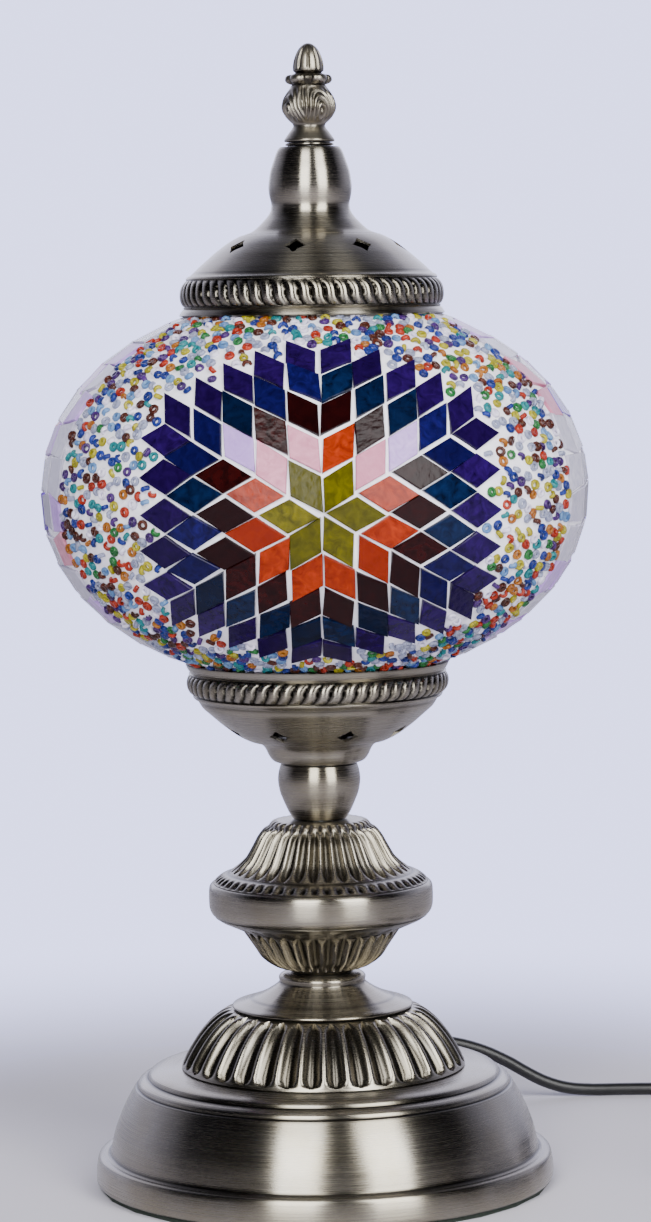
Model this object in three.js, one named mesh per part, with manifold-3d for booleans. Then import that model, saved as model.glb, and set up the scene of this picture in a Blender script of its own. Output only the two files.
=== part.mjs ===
// A mosaic glass table lamp: a bead and tile globe held between two brass galleries on a turned
// stem, with a small screw-in bulb inside it, a finial that clamps the cap, and a mains lead with
// an inline rocker switch and a two-pin plug. Millimetres, +Z up, origin at the centre of the
// felt underside.
import * as THREE from "three";
import { mergeVertices } from "three/addons/utils/BufferGeometryUtils.js";
import Module from "manifold-3d";

const wasm = await Module();
wasm.setup();

// ---------------------------------------------------------------- driving dimensions
const GAP = 0.3; // what touching pieces keep between them
const SHEET = 1.5; // wall of the spun brass pieces
const FOOT_RADIUS = 85.8;
const KNOB_RADIUS = 41.9;
const ROPE_RADIUS = 48.4; // rope moulding round both galleries
const GLOBE_RADIUS = 101.4; // outside of the mosaic
const GLOBE_ABOVE = 73; // globe's half height above its equator, if its curve closed
const GLOBE_BELOW = 70.8;
const GLOBE_POWER = 2.08; // 2 would be a true ellipse
const MOSAIC = 2.6; // tiles, beads and plaster on the glass
const GLASS = 3;
const MOUTH_RADIUS = 42; // both openings of the glass
const MOSAIC_EDGE = 44.5; // where the mosaic stops around each opening
const TUBE_RADIUS = 4.9; // M10 lamp tube up the middle
const TUBE_BORE = 3.6;
const TUBE_HOLE = 5.4; // hole for that tube in every piece threaded on it
const STUD_RADIUS = 2.9; // M6 stud of the harp
const STUD_HOLE = 3.3;
const CORD_RADIUS = 2.5;
const VENTS = 8;
const VENT_SIZE = 3.3; // centre to point of a star-shaped vent

// Heights of the pieces' own base lines above the table.
const LEVEL = {
  rim: 1.7,
  dome: 44.6,
  collar: 66.8,
  knob: 79.9,
  band: 101.5,
  shoulder: 114.1,
  vase: 137.7,
  flare: 158.7,
  cupEdge: 196.4,
  equator: 260,
  capEdge: 325.6,
  capFlare: 355.5,
  capVase: 366.4,
  washer: 387.4,
  finial: 388.8,
};
const LAMP_HEIGHT = 425;
const VASE_LENGTH = 20.6;
const GALLERY_DEPTH = 29.5;

// Straight runs and bends of the lead, after it leaves the strain relief.
const CORD_EXIT = [0, 104, 28];
const SWITCH = { x: 171, y: 78, length: 58, width: 22, height: 17 };
const COIL = { x: 173, y: -22, inside: 17.3, outside: 37.7, height: 14.1 };
const PLUG = { x: 207, y: -84, length: 36, width: 25, height: 14, pin: 19 };

const WIDE = 26; // sides of the large round pieces
const ROUND = 20; // sides of the stem's pieces
const SMALL = 12; // sides of the small fittings

// ---------------------------------------------------------------- materials
function material(color, roughness, metalness, extra = {}) {
  return new THREE.MeshStandardMaterial({ color, roughness, metalness, ...extra });
}
const antiqueBrass = () => material(0x857a68, 0.34, 1);
const brightBrass = () => material(0xc09a52, 0.3, 1);
const steel = () => material(0x9a9a98, 0.35, 1);
const castIron = () => material(0x3c3a38, 0.8, 0.6);
const felt = () => material(0x20281f, 1, 0);
const rubber = () => material(0x171717, 0.85, 0);
const clearGlass = () => material(0xf2f2f5, 0.05, 0, { transparent: true, opacity: 0.35 });
const mosaicGlass = () => material(0x6d5a86, 0.25, 0);
const frostedGlass = () => material(0xf6f1e6, 0.5, 0);
const bakelite = () => material(0x1d1a19, 0.45, 0);
const blackPlastic = () => material(0x121212, 0.5, 0);

// ---------------------------------------------------------------- shape helpers
const lamp = new THREE.Group();

function add(name, geometry, finish, position = [0, 0, 0], parent = lamp) {
  const mesh = new THREE.Mesh(geometry, finish);
  mesh.name = name;
  mesh.position.set(...position);
  parent.add(mesh);
  return mesh;
}

// Spins an outline of [radius, height] points about +Z. It may end on the axis or close on itself.
function spun(points, sides = ROUND) {
  const outline = points.map(([r, z]) => new THREE.Vector2(r, z));
  if (THREE.ShapeUtils.area(outline) < 0) outline.reverse();
  if (outline[0].x > 0) outline.push(outline[0].clone());
  return new THREE.LatheGeometry(outline, sides).rotateX(Math.PI / 2);
}

// The closed outline of a sheet whose outer face runs upwards through the points. Its two ends are
// cut level, or upright where they are the rim of a hole.
function walled(outer, thickness = SHEET) {
  const last = outer.length - 1;
  const inner = outer.map(([r, z], i) => {
    const [r0, z0] = outer[Math.max(i - 1, 0)];
    const [r1, z1] = outer[Math.min(i + 1, last)];
    const run = r1 - r0;
    const rise = z1 - z0;
    const length = Math.hypot(run, rise);
    if (i > 0 && i < last) return [r - (thickness * rise) / length, z + (thickness * run) / length];
    const isHole = rise < 0.3 * Math.abs(run);
    return isHole ? [r, z + thickness * Math.sign(run)] : [r - (thickness * length) / rise, z];
  });
  return [...outer, ...inner.reverse()];
}

function ring(inside, outside, low, high, sides = SMALL) {
  return spun([[inside, low], [outside, low], [outside, high], [inside, high]], sides);
}

function hexNut(acrossCorners, hole, thickness) {
  const shape = new THREE.Shape();
  for (let corner = 0; corner < 6; corner += 1) {
    const turn = (corner * Math.PI) / 3;
    const point = [Math.cos(turn) * acrossCorners, Math.sin(turn) * acrossCorners];
    if (corner) shape.lineTo(...point);
    else shape.moveTo(...point);
  }
  shape.holes.push(new THREE.Path().absarc(0, 0, hole, 0, 2 * Math.PI, true));
  return new THREE.ExtrudeGeometry(shape, { depth: thickness, bevelEnabled: false, curveSegments: 8 });
}

// A rod or cord of a round section along a smooth curve through the points.
function rod(points, radius, sides, steps) {
  const curve = new THREE.CatmullRomCurve3(points.map((p) => new THREE.Vector3(...p)), false, "centripetal");
  const section = new THREE.Shape();
  for (let side = 0; side < sides; side += 1) {
    const turn = (2 * Math.PI * side) / sides;
    const point = [Math.cos(turn) * radius, Math.sin(turn) * radius];
    if (side) section.lineTo(...point);
    else section.moveTo(...point);
  }
  return new THREE.ExtrudeGeometry(section, { extrudePath: curve, steps });
}

// A rounded box, flat underneath, made by extruding its plan upwards.
function block(width, length, height, corner) {
  const plan = new THREE.Shape();
  const x = width / 2 - corner;
  const y = length / 2 - corner;
  plan.absarc(x, y, corner, 0, Math.PI / 2);
  plan.absarc(-x, y, corner, Math.PI / 2, Math.PI);
  plan.absarc(-x, -y, corner, Math.PI, 1.5 * Math.PI);
  plan.absarc(x, -y, corner, 1.5 * Math.PI, 2 * Math.PI);
  return new THREE.ExtrudeGeometry(plan, { depth: height, bevelEnabled: false, curveSegments: 3 });
}

function solid(geometry) {
  const bare = new THREE.BufferGeometry();
  bare.setAttribute("position", geometry.getAttribute("position"));
  if (geometry.index) bare.setIndex(geometry.index);
  const merged = mergeVertices(bare, 1e-3);
  const triVerts = new Uint32Array(merged.index.array);
  const vertProperties = new Float32Array(merged.attributes.position.array);
  return new wasm.Manifold(new wasm.Mesh({ numProp: 3, vertProperties, triVerts }));
}

function surface(body) {
  const mesh = body.getMesh();
  const geometry = new THREE.BufferGeometry();
  geometry.setAttribute("position", new THREE.BufferAttribute(mesh.vertProperties, 3));
  geometry.setIndex(new THREE.BufferAttribute(mesh.triVerts, 1));
  geometry.computeVertexNormals();
  return geometry;
}

const cut = (body, ...tools) => surface(tools.reduce((left, tool) => left.subtract(solid(tool)), solid(body)));
const joined = (...bodies) => surface(bodies.map(solid).reduce((sum, body) => sum.add(body)));

// A round tool or pin lying along +Y.
function pinAlongY(radius, length, x, y, z, sides = SMALL) {
  return new THREE.CylinderGeometry(radius, radius, length, sides).translate(x, y + length / 2, z);
}

// ---------------------------------------------------------------- base
function baseShell() {
  const outer = [
    [FOOT_RADIUS - 1, 0],
    [FOOT_RADIUS, 1.3],
    [FOOT_RADIUS - 0.9, 9.6],
    [FOOT_RADIUS - 2.4, 10.9],
    [80.6, 11.6],
    [79.6, 14.8],
    [76.6, 24],
    [70.9, 36.3],
    [66.3, 39.7],
    [53.5, 42.3],
    [TUBE_HOLE, 42.5],
  ];
  const grommetHole = pinAlongY(5, 20, 0, 66, CORD_EXIT[2] - LEVEL.rim);
  return cut(spun(walled(outer), WIDE), grommetHole);
}

function baseWeight() {
  return spun([
    [TUBE_HOLE, 9.4],
    [60, 9.4],
    [60, 17.4],
    [14, 18.4],
    [13, 42.3],
    [TUBE_HOLE, 42.3],
  ], SMALL);
}

function flutedDome() {
  return spun(walled([
    [53.2, 0],
    [50.4, 4.9],
    [45.5, 12.3],
    [37.4, 19.8],
    [32, 21.8],
    [TUBE_HOLE, 21.9],
  ]));
}

function domeCollar() {
  return spun(walled([
    [34, 0],
    [31, 2.8],
    [24, 6],
    [17, 9.6],
    [15.8, 11.6],
    [13.8, 12.7],
    [TUBE_HOLE, 12.8],
  ]));
}

// ---------------------------------------------------------------- stem
function knobLower() {
  return spun(walled([
    [11.4, 0],
    [12.6, 1.2],
    [18.6, 3.7],
    [23, 7.4],
    [26.3, 12.4],
    [29.2, 16],
    [39.6, 21.3],
  ]));
}

function knobBand() {
  return spun(walled([
    [KNOB_RADIUS - 2.2, 0],
    [KNOB_RADIUS - 0.5, 2.1],
    [KNOB_RADIUS, 4.9],
    [KNOB_RADIUS, 8.8],
    [KNOB_RADIUS - 0.6, 11],
    [KNOB_RADIUS - 1.8, 12.3],
  ]));
}

function knobUpper() {
  return spun(walled([
    [40.2, 0],
    [34.7, 3.5],
    [28.6, 7.4],
    [25.4, 11.9],
    [22.6, 17.1],
    [17.4, 22],
    [13.6, 23],
    [TUBE_HOLE, 23.2],
  ]));
}

// The same small pressing stands under the cup and, turned over, on top of the cap.
function vase(hole) {
  const swell = [
    [hole, 0],
    [10.6, 0],
    [12.8, 0.18],
    [14.9, 0.42],
    [15.4, 0.66],
    [15, 0.85],
    [14.1, 1],
  ];
  return spun(walled(swell.map(([r, share]) => [r, share * VASE_LENGTH])));
}

function flare(length) {
  return spun(walled([
    [14.4, 0],
    [17.4, 0.25 * length],
    [20, 0.72 * length],
    [22.6, length],
  ]));
}

// ---------------------------------------------------------------- galleries: the cup and the cap
// A star with four points and hollow sides.
function star(size, depth) {
  const shape = new THREE.Shape().moveTo(size, 0);
  for (let point = 1; point <= 4; point += 1) {
    const waist = ((point - 0.5) * Math.PI) / 2;
    const tip = (point * Math.PI) / 2;
    shape.lineTo(0.42 * size * Math.cos(waist), 0.42 * size * Math.sin(waist));
    if (point < 4) shape.lineTo(size * Math.cos(tip), size * Math.sin(tip));
  }
  return new THREE.ExtrudeGeometry(shape, { depth, bevelEnabled: false });
}

// The pressing stands on its open edge. Its rope moulding is `rope` above that edge.
function gallery(rope, firstVent) {
  const dome = [
    [ROPE_RADIUS + 0.6, 0],
    [ROPE_RADIUS - 0.9, 0.5 * rope],
    [ROPE_RADIUS, rope],
    [46.6, 12.9],
    [42.1, 17.4],
    [36.4, 22.3],
    [30.8, 26.4],
    [23.6, 29.2],
    [TUBE_HOLE, GALLERY_DEPTH],
  ];
  const tilt = 0.62; // the dome's slope where the vents are
  const vents = Array.from({ length: VENTS }, (_, i) =>
    star(VENT_SIZE, 12)
      .rotateZ(Math.PI / 4)
      .translate(0, 0, -6)
      .rotateX(-tilt)
      .translate(0, 32.6, 24.8)
      .rotateZ(firstVent + (i * 2 * Math.PI) / VENTS),
  );
  return cut(spun(walled(dome), WIDE), ...vents);
}

// ---------------------------------------------------------------- globe
// A point of the globe's section, `inset` inside the mosaic's face, at an angle from the equator.
function globePoint(angle, inset) {
  const power = 2 / GLOBE_POWER;
  const half = angle > 0 ? GLOBE_ABOVE : GLOBE_BELOW;
  const r = (GLOBE_RADIUS - inset) * Math.cos(angle) ** power;
  const z = (half - inset) * Math.abs(Math.sin(angle)) ** power * Math.sign(angle);
  return [r, z];
}

// A skin of the globe between two insets, open at the top and the bottom at the given radius.
function globeSkin(insetOut, insetIn, mouth, steps) {
  const edge = (inset) => Math.acos((mouth / (GLOBE_RADIUS - inset)) ** (GLOBE_POWER / 2));
  const line = (inset) =>
    Array.from({ length: steps + 1 }, (_, i) => globePoint(edge(inset) * ((2 * i) / steps - 1), inset));
  return spun([...line(insetOut), ...line(insetIn).reverse()], WIDE);
}

// ---------------------------------------------------------------- harp, lampholder and bulb
function harp() {
  const saddle = ring(TUBE_HOLE, 15, 169, 171.4);
  const bow = rod(
    [
      [-11, 0, 170.4],
      [-24, 0, 180],
      [-30.5, 0, 205],
      [-32, 0, 250],
      [-27, 0, 290],
      [-14, 0, 312],
      [0, 0, 318.5],
      [14, 0, 312],
      [27, 0, 290],
      [32, 0, 250],
      [30.5, 0, 205],
      [24, 0, 180],
      [11, 0, 170.4],
    ],
    1.8,
    6,
    24,
  );
  const stud = spun([[0, 315], [5, 315], [5, 321], [STUD_RADIUS, 322], [STUD_RADIUS, 397], [0, 397]], 12);
  return joined(saddle, bow, stud);
}

function socketBase() {
  return spun([
    [TUBE_HOLE, 178.2],
    [10, 178.2],
    [14.5, 182],
    [14.5, 189.6],
    [12.9, 189.6],
    [12.9, 183.2],
    [TUBE_HOLE, 180.6],
  ]);
}

function socketBody() {
  return spun([
    [0, 190],
    [14.2, 190],
    [14.8, 193],
    [14.8, 214],
    [8.3, 214],
    [8.3, 195],
    [0, 195],
  ]);
}

function bulbCap() {
  return spun([[3.4, 200.2], [6.3, 201.6], [6.9, 203], [6.9, 217.4], [3.4, 217.4]]);
}

function bulbGlass() {
  const centre = 245;
  const radius = 22.5;
  const neck = [[0, 217.8], [7.4, 217.8], [9.5, 222]];
  const globe = Array.from({ length: 9 }, (_, i) => {
    const angle = -0.8 + (i * (Math.PI / 2 + 0.8)) / 8;
    return [i === 8 ? 0 : radius * Math.cos(angle), centre + radius * Math.sin(angle)];
  });
  return spun([...neck, ...globe], 18);
}

// ---------------------------------------------------------------- finial
function finial() {
  return cut(
    spun([
      [0, 0],
      [8.2, 0],
      [9.3, 0.6],
      [8.1, 2.8],
      [6, 5.4],
      [6.2, 6.8],
      [8.6, 9.4],
      [9.7, 12.8],
      [8.6, 16.8],
      [6.7, 20.4],
      [7.9, 22.6],
      [7.4, 25.2],
      [5.5, 26.4],
      [5, 30.2],
      [3.2, 34],
      [0, LAMP_HEIGHT - LEVEL.finial],
    ], 20),
    spun([[0, -1], [STUD_HOLE, -1], [STUD_HOLE, 9.4], [0, 9.4]], 12),
  );
}

// ---------------------------------------------------------------- lead, switch and plug
// The tapered strain relief, flanged on both sides of the base's wall.
function strainRelief() {
  const y = CORD_EXIT[1];
  return spun([
    [2.8, -36.4],
    [6.4, -36.4],
    [6.4, -34],
    [4.6, -33.8],
    [4.6, -25.4],
    [6, -25.2],
    [5.8, -22.8],
    [4.7, -21.4],
    [3.3, -GAP],
    [2.8, -GAP],
  ]).rotateX(-Math.PI / 2).translate(0, y, CORD_EXIT[2]);
}

// From the strain relief, down to the table, out to the side and into the switch.
const LEAD = [
  CORD_EXIT,
  [0, 112, 28],
  [2.5, 120, 27.8],
  [9, 128, 27.4],
  [19, 134, 27],
  [31, 138, 26.4],
  [43, 140.4, 25.6],
  [55, 141.8, 23.8],
  [66, 142.8, 20.4],
  [76, 143.5, 15.6],
  [84, 144, 10.8],
  [92, 144.6, 6.6],
  [101, 145.3, 3.8],
  [111, 146, 2.8],
  [122, 146.4, 2.7],
  [134, 146.2, 2.7],
  [145, 144.4, 2.7],
  [155, 140, 2.7],
  [163, 133, 3],
  [168.4, 124.6, 4.2],
  [170.6, 115.6, 6.2],
  [171, 108, 7],
];
// From the switch to the outermost turn of the coil.
const TAIL = [
  [171, 48, 7],
  [171.4, 40, 6],
  [174, 32, 4.2],
  [179, 24.8, 3],
  [186, 18.6, 2.7],
  [193.4, 13.6, 2.7],
  [200.4, 8.4, 2.7],
  [205.4, 2.4, 2.7],
];
// From the coil's last turn, over its edge and down, to the plug.
const LAST = [
  [208.6, -42.4, 9.6],
  [209.6, -50, 6.8],
  [209, -58, 4.6],
  [208, -66, 5],
  [207.2, -74, 6.4],
  [207, -84, 7],
];

// Pulls both ends of a route back, so that its faces don't touch what they meet.
function trimmed(route, atStart = GAP, atEnd = GAP) {
  const pulled = route.map((p) => new THREE.Vector3(...p));
  const last = pulled.length - 1;
  pulled[0].add(pulled[1].clone().sub(pulled[0]).setLength(atStart));
  pulled[last].add(pulled[last - 1].clone().sub(pulled[last]).setLength(atEnd));
  return pulled.map((p) => p.toArray());
}

function switchCase(low, high) {
  const shell = block(SWITCH.width, SWITCH.length, high - low, 6).translate(SWITCH.x, SWITCH.y, low);
  const pocket = block(13.6, 24, 20, 1).translate(SWITCH.x, SWITCH.y, 9.4);
  return cut(shell, pocket);
}

function rocker() {
  const cap = block(12.4, 22, 5.6, 1.2).translate(0, 0, -1.6);
  const boss = block(9, 6, 3.4, 1).translate(0, 0, -5);
  const tilt = -8 * (Math.PI / 180);
  return joined(cap, boss).rotateX(tilt).translate(SWITCH.x, SWITCH.y, 15.4);
}

function plugBody() {
  const plan = new THREE.Shape();
  const half = PLUG.width / 2;
  plan.moveTo(-5, 0);
  plan.lineTo(-half, -14);
  plan.lineTo(-half, -PLUG.length);
  plan.lineTo(half, -PLUG.length);
  plan.lineTo(half, -14);
  plan.lineTo(5, 0);
  const body = new THREE.ExtrudeGeometry(plan, {
    depth: PLUG.height - 2,
    bevelThickness: 1,
    bevelSize: 0.8,
    bevelSegments: 1,
  });
  return body.translate(PLUG.x, PLUG.y - 0.8 - GAP, 1);
}

// ---------------------------------------------------------------- the assembly, from the table up
add("base_pad", spun([[0, 0], [84.4, 0], [84.4, 1.4], [0, 1.4]], WIDE), felt());
add("base_shell", baseShell(), antiqueBrass(), [0, 0, LEVEL.rim]);
add("base_weight", baseWeight(), castIron());
add("bottom_nut", hexNut(9, TUBE_HOLE, 4.8), steel(), [0, 0, 2.6]);
add("bottom_washer", ring(TUBE_HOLE, 14, 7.7, 9.1), steel());
add("fluted_dome", flutedDome(), antiqueBrass(), [0, 0, LEVEL.dome]);
add("dome_collar", domeCollar(), antiqueBrass(), [0, 0, LEVEL.collar]);
add("knob_lower", knobLower(), antiqueBrass(), [0, 0, LEVEL.knob]);
add("knob_band", knobBand(), antiqueBrass(), [0, 0, LEVEL.band]);
add("knob_upper", knobUpper(), antiqueBrass(), [0, 0, LEVEL.shoulder]);
add("cup_vase", vase(TUBE_HOLE), antiqueBrass(), [0, 0, LEVEL.vase]);
add("cup_flare", flare(7.9), antiqueBrass(), [0, 0, LEVEL.flare]);
add("centre_tube", ring(TUBE_BORE, TUBE_RADIUS, 2.2, 186), steel());

const cup = add("cup_gallery", gallery(7, 0.454), antiqueBrass(), [0, 0, LEVEL.cupEdge]);
cup.rotation.x = Math.PI;
add("cup_nut", hexNut(9, TUBE_HOLE, 5), steel(), [0, 0, 171.8]);
add("cup_gasket", spun([[40, 189], [45.2, 191], [45.2, 195], [40, 195]], ROUND), rubber());
add("harp", harp(), steel());

add("socket_base", socketBase(), bakelite());
add("socket_body", socketBody(), bakelite());
add("socket_shell", ring(7.4, 7.9, 198, 213), brightBrass());
add("socket_contact", ring(1, 4, 195.4, 197), brightBrass());

add("globe_glass", globeSkin(MOSAIC + GAP, MOSAIC + GAP + GLASS, MOUTH_RADIUS, 10), clearGlass(), [0, 0, LEVEL.equator]);
add("globe_mosaic", globeSkin(0, MOSAIC, MOSAIC_EDGE, 10), mosaicGlass(), [0, 0, LEVEL.equator]);
add("cap_gasket", ring(41, 45.3, 327, 330.6, ROUND), rubber());

add("cap_gallery", gallery(8.9, 0.602), antiqueBrass(), [0, 0, LEVEL.capEdge]);
const capFlare = add("cap_flare", flare(10.5), antiqueBrass(), [0, 0, LEVEL.capFlare + 10.5]);
capFlare.rotation.x = Math.PI;
const capVase = add("cap_vase", vase(STUD_HOLE), antiqueBrass(), [0, 0, LEVEL.capVase + VASE_LENGTH]);
capVase.rotation.x = Math.PI;
add("finial_washer", ring(STUD_HOLE, 8.6, 0, 1.1), antiqueBrass(), [0, 0, LEVEL.washer]);
add("finial", finial(), antiqueBrass(), [0, 0, LEVEL.finial]);

add("bulb_contact", ring(0.8, 3, 198, 199.8, 12), steel());
add("bulb_cap", bulbCap(), steel());
add("bulb_glass", bulbGlass(), frostedGlass());

add("strain_relief", strainRelief(), rubber());
add("cord_lead", rod(trimmed(LEAD), CORD_RADIUS, 8, 26), blackPlastic());
add("switch_lower", switchCase(0, 8.4), blackPlastic());
add("switch_upper", switchCase(8.4 + GAP, SWITCH.height), blackPlastic());
add("switch_rocker", rocker(), blackPlastic());
add("cord_tail", rod(trimmed(TAIL), CORD_RADIUS, 8, 8), blackPlastic());
const coilRing = ring(COIL.inside, COIL.outside, 0.1, COIL.height, 20);
add("cord_coil", coilRing, blackPlastic(), [COIL.x, COIL.y, 0]);
add("cord_end", rod(trimmed(LAST), CORD_RADIUS, 8, 6), blackPlastic());
add("plug_body", plugBody(), blackPlastic());
for (const [side, name] of [[-1, "plug_pin_left"], [1, "plug_pin_right"]]) {
  const y = PLUG.y - PLUG.length - 2.2 - PLUG.pin;
  add(name, pinAlongY(2, PLUG.pin, PLUG.x + 9 * side, y, PLUG.height / 2, 12), steel());
}

export default lamp;
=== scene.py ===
# %% [markdown]
# A mosaic glass table lamp: spun and pressed brass, a glass globe covered in coloured tiles and
# seed beads, and a black mains lead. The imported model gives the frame: every piece below goes
# where its node already is, in metres.

# %% The frame
import math
import random

import bmesh
import bpy
from mathutils import Matrix, Vector


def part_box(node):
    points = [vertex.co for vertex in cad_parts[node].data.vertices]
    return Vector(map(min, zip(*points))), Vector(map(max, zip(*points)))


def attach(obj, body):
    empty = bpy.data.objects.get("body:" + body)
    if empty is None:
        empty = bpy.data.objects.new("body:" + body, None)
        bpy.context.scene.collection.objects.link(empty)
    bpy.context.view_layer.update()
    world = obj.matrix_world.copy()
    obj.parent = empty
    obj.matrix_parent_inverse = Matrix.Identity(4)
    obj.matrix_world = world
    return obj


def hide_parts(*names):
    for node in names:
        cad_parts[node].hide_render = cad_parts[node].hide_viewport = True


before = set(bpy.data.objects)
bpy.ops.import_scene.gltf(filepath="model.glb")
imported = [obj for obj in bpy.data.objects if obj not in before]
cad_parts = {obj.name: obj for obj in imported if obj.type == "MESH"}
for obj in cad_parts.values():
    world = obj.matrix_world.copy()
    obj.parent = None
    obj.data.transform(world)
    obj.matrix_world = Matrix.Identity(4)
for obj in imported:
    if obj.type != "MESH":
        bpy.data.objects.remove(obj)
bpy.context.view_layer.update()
MM = 0.001

# %% [markdown]
# The camera stands 1.43 m in front of the lamp and a third of a metre above the table, looking a
# little down, with a long lens. A slight roll makes the finial lean to the left.

# %% Camera
CAMERA_DISTANCE = 1.43
CAMERA_HEIGHT = 0.33
LOOK_DOWN = math.radians(4.7)
ROLL = math.radians(-0.88)
FRAME_WIDTH, FOCAL_LENGTH = 36, 113.45  # millimetres
SHIFT_RIGHT, SHIFT_UP = 0.0072, 0.0062

camera = bpy.data.objects.new("camera", bpy.data.cameras.new("camera"))
bpy.context.collection.objects.link(camera)
camera.location = (0, -CAMERA_DISTANCE, CAMERA_HEIGHT)
turn = Matrix.Rotation(math.pi / 2 - LOOK_DOWN, 4, "X") @ Matrix.Rotation(ROLL, 4, "Z")
camera.rotation_euler = turn.to_euler()
camera.data.sensor_width = FRAME_WIDTH
camera.data.lens = FOCAL_LENGTH
camera.data.shift_x, camera.data.shift_y = SHIFT_RIGHT, SHIFT_UP
bpy.context.scene.camera = camera
print("camera", tuple(camera.location))

# %% [markdown]
# A few helpers build every material. Colours are written as sRGB hex values, as a paint chart
# gives them, and one helper turns them to linear light. The others add a shader node with its
# settings and links, start a material, and add noise, a colour ramp or a bump.

# %% Helpers for materials
def linear(hex_value):
    channels = [(hex_value >> shift & 255) / 255 for shift in (16, 8, 0)]
    return [c / 12.92 if c <= 0.04045 else ((c + 0.055) / 1.055) ** 2.4 for c in channels] + [1]


def node(tree, kind, inputs=None, **settings):
    """Adds a shader node. Settings name properties or inputs. Inputs are sockets or values."""
    made = tree.nodes.new("ShaderNode" + kind)
    for name, value in settings.items():
        if hasattr(made, name):
            setattr(made, name, value)
        else:
            made.inputs[name.replace("_", " ")].default_value = value
    for name, value in (inputs or {}).items():
        if isinstance(value, bpy.types.NodeSocket):
            tree.links.new(value, made.inputs[name])
        else:
            made.inputs[name].default_value = value
    return made


def new_material(name, **settings):
    """A material with one Principled shader, and the tree and shader to build on."""
    material = bpy.data.materials.new(name)
    material.use_nodes = True
    tree = material.node_tree
    shader = tree.nodes["Principled BSDF"]
    for key, value in settings.items():
        shader.inputs[key.replace("_", " ")].default_value = value
    return material, tree, shader


def ramp(tree, factor, stops):
    """A colour ramp from (place, hex colour) stops."""
    made = node(tree, "ValToRGB", {"Fac": factor})
    band = made.color_ramp.elements
    while len(band) < len(stops):
        band.new(0.5)
    for element, (place, colour) in zip(band, stops):
        element.position = place
        element.color = linear(colour)
    return made.outputs["Color"]


def bumped(tree, shader, height, distance_mm, strength=1.0):
    bump = node(tree, "Bump", {"Height": height}, Distance=distance_mm * MM, Strength=strength)
    tree.links.new(bump.outputs["Normal"], shader.inputs["Normal"])


def noise(tree, scale, detail, **settings):
    """Noise in the object's own space."""
    place = node(tree, "TexCoord").outputs["Object"]
    return node(tree, "TexNoise", {"Vector": place}, Scale=scale, Detail=detail,
                **settings).outputs["Fac"]


def tinted(tree, shader, factor, stops):
    tree.links.new(ramp(tree, factor, stops), shader.inputs["Base Color"])


print("material helpers ready")

# %% [markdown]
# Every piece is made by Blender's own operators or from a mesh. These helpers select it, open it
# for editing, apply a modifier, and finish it: its material, the body it rides on and the nodes of
# the imported model that it stands for.

# %% Helpers for pieces
def deselected():
    if bpy.context.object and bpy.context.object.mode != "OBJECT":
        bpy.ops.object.mode_set(mode="OBJECT")
    bpy.ops.object.select_all(action="DESELECT")


def active(piece):
    deselected()
    piece.select_set(True)
    bpy.context.view_layer.objects.active = piece


def opened(piece):
    """Opens the piece in edit mode with its whole mesh selected."""
    active(piece)
    bpy.ops.object.mode_set(mode="EDIT")
    bpy.ops.mesh.select_all(action="SELECT")


def new_piece(name, verts, edges, faces):
    mesh = bpy.data.meshes.new(name)
    mesh.from_pydata(verts, edges, faces)
    piece = bpy.data.objects.new(name, mesh)
    bpy.context.collection.objects.link(piece)
    return piece


def modified(piece, kind, **settings):
    """Adds a modifier and applies it."""
    active(piece)
    modifier = piece.modifiers.new(kind.lower(), kind)
    for name, value in settings.items():
        setattr(modifier, name, value)
    bpy.ops.object.modifier_apply(modifier=modifier.name)


def base_of(cad_node):
    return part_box(cad_node)[0][2] / MM


def top_of(cad_node):
    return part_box(cad_node)[1][2] / MM


def finished(piece, material, body, slot, *nodes, angle=35):
    """Gives a piece its finish and says what it rides on and stands for."""
    active(piece)
    if piece.type == "MESH":
        bpy.ops.object.shade_smooth_by_angle(angle=math.radians(angle))
    piece.data.materials.clear()
    piece.data.materials.append(material)
    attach(piece, body)
    if nodes:
        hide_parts(*nodes)
    print(piece.name, "in", material.name, "on", body)


print("piece helpers ready")


# %% [markdown]
# The lead is one black PVC mains cable, 5 mm thick and 1.8 m long. It comes straight out of the
# strain relief, droops to the table, leaves to the right, passes through the inline switch and is
# wound into a neat coil of eight turns, put away as for storage. Its route is a list of points,
# and the coil's turns are worked out by a loop. A curve with a round bevel keeps the thickness
# true all the way.

# %% The lead's route, in millimetres
CORD_RADIUS = 2.5
CORD_EXIT = (0, 104, 28)
LEAD = [
    CORD_EXIT, (0, 112, 28), (2.5, 120, 27.8), (9, 128, 27.4), (19, 134, 27), (31, 138, 26.4),
    (43, 140.4, 25.6), (55, 141.8, 23.8), (66, 142.8, 20.4), (76, 143.5, 15.6), (84, 144, 10.8),
    (92, 144.6, 6.6), (101, 145.3, 3.8), (111, 146, 2.8), (122, 146.4, 2.7), (134, 146.2, 2.7),
    (145, 144.4, 2.7), (155, 140, 2.7), (163, 133, 3), (168.4, 124.6, 4.2), (170.6, 115.6, 6.2),
    (171, 108, 7),
]
THROUGH_SWITCH = [(171, 93, 7), (171, 78, 7), (171, 63, 7)]
TAIL = [
    (171, 48, 7), (171.4, 40, 6), (174, 32, 4.2), (179, 24.8, 3), (186, 18.6, 2.7),
    (193.4, 13.6, 2.7), (200.4, 8.4, 2.7), (205.4, 2.4, 2.7), (207.6, -8, 2.7),
]
LAST = [
    (204.6, -32, 12.1), (208.6, -42.4, 9.8), (209.6, -50, 6.8), (209, -58, 4.6), (208, -66, 5),
    (207.2, -74, 6.4), (207, -84, 7),
]
COIL_CENTRE = (173, -22)
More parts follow.
